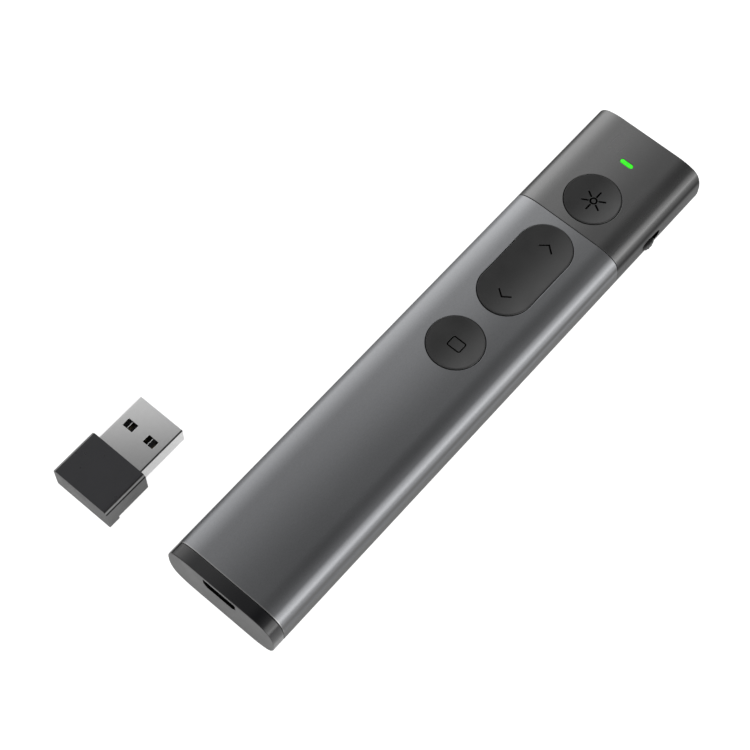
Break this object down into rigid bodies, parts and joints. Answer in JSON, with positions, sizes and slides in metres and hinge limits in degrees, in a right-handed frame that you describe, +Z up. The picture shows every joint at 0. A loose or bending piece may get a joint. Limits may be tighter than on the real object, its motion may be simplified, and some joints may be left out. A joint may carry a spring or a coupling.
{
  "type": "wireless presentation clicker",
  "caption": "Slim metal wireless presentation clicker with page rocker, screen and laser buttons, side power slide and rear charging port, with its small plug-in USB receiver beside it.",
  "frame": {"origin": "middle of the clicker's flat underside, where it rests on a table", "axes": "+X along the clicker towards the laser window, +Y to the left of it where the receiver lies, +Z up out of the button face"},
  "size_m": [0.1393, 0.0591, 0.0127],
  "materials": {
    "sleeve_metal": "satin anodised, gunmetal grey",
    "head_metal": "satin anodised, darker grey",
    "cap_plastic": "gloss black with a matt rear face",
    "black_plastic": "matt black",
    "board": "green solder mask",
    "steel": "bright steel",
    "nickel": "nickel plate",
    "pouch_foil": "silver foil",
    "chip_resin": "matt black resin",
    "magnet_plate": "bright nickel plate",
    "button_rubber": "matt dark grey",
    "pale_plastic": "natural white",
    "lit_plastic": "green, lit",
    "laser_brass": "turned brass",
    "clear_glass": "clear",
    "tinted_window": "dark red tint",
    "knob_plastic": "matt dark grey",
    "cover_plastic": "satin black",
    "plug_steel": "satin nickel-plated steel",
    "contact_gold": "gold plate"
  },
  "bodies": {
    "clicker": {"body_sleeve": "sleeve_metal", "head_shell": "head_metal", "end_cap": "cap_plastic", "inner_tray": "black_plastic", "main_board": "board", "board_screws": "steel", "battery": "pouch_foil", "battery_tabs": "nickel", "control_chip": "chip_resin", "charge_chip": "chip_resin", "crystal": "nickel", "usb_port_shell": "steel", "usb_port_tongue": "black_plastic", "receiver_bay": "black_plastic", "bay_magnet": "magnet_plate", "screen_switch": "nickel", "laser_switch": "nickel", "rocker_cradle": "pale_plastic", "rocker_pin": "steel", "back_switch": "nickel", "forward_switch": "nickel", "status_led": "pale_plastic", "light_pipe": "lit_plastic", "laser_barrel": "laser_brass", "laser_lens": "clear_glass", "laser_driver_board": "board", "laser_holder": "black_plastic", "laser_window": "tinted_window", "power_switch": "nickel"},
    "screen_button": {"screen_button": "button_rubber", "screen_stem": "pale_plastic"},
    "laser_button": {"laser_button": "button_rubber", "laser_stem": "pale_plastic"},
    "page_rocker": {"page_rocker": "button_rubber"},
    "back_stem": {"back_stem": "pale_plastic"},
    "forward_stem": {"forward_stem": "pale_plastic"},
    "power_knob": {"power_knob": "knob_plastic"},
    "receiver": {"receiver_cover": "cover_plastic", "receiver_plug_shell": "plug_steel", "receiver_tongue": "black_plastic", "receiver_contacts": "contact_gold", "receiver_board": "board"}
  },
  "joints": [
    {"name": "screen_button_press", "type": "slide", "parent": "clicker", "child": "screen_button", "axis": [0, 0, -1], "range_m": [0, 0.0003], "stiffness_N_per_m": 2000},
    {"name": "laser_button_press", "type": "slide", "parent": "clicker", "child": "laser_button", "axis": [0, 0, -1], "range_m": [0, 0.0003], "stiffness_N_per_m": 2000},
    {"name": "page_rocker_tilt", "type": "hinge", "parent": "clicker", "child": "page_rocker", "pos_m": [0.0253, 0, 0.0104], "axis": [0, 1, 0], "range_deg": [-1.8, 1.8], "stiffness_Nm_per_rad": 0.3},
    {"name": "forward_stem_press", "type": "slide", "parent": "clicker", "child": "forward_stem", "axis": [0, 0, -1], "range_m": [-0.0002, 0.0002]},
    {"name": "back_stem_press", "type": "slide", "parent": "clicker", "child": "back_stem", "axis": [0, 0, -1], "range_m": [-0.0002, 0.0002]},
    {"name": "power_slide", "type": "slide", "parent": "clicker", "child": "power_knob", "axis": [1, 0, 0], "range_m": [0, 0.0021]},
    {"name": "receiver_lift", "type": "slide", "parent": "clicker", "child": "receiver", "axis": [0, 0, 1], "range_m": [0, 0.03]}
  ],
  "couplings": [
    {"joint": "forward_stem_press", "follows": "page_rocker_tilt", "m_per_rad": 0.0062},
    {"joint": "back_stem_press", "follows": "page_rocker_tilt", "m_per_rad": -0.0062}
  ]
}
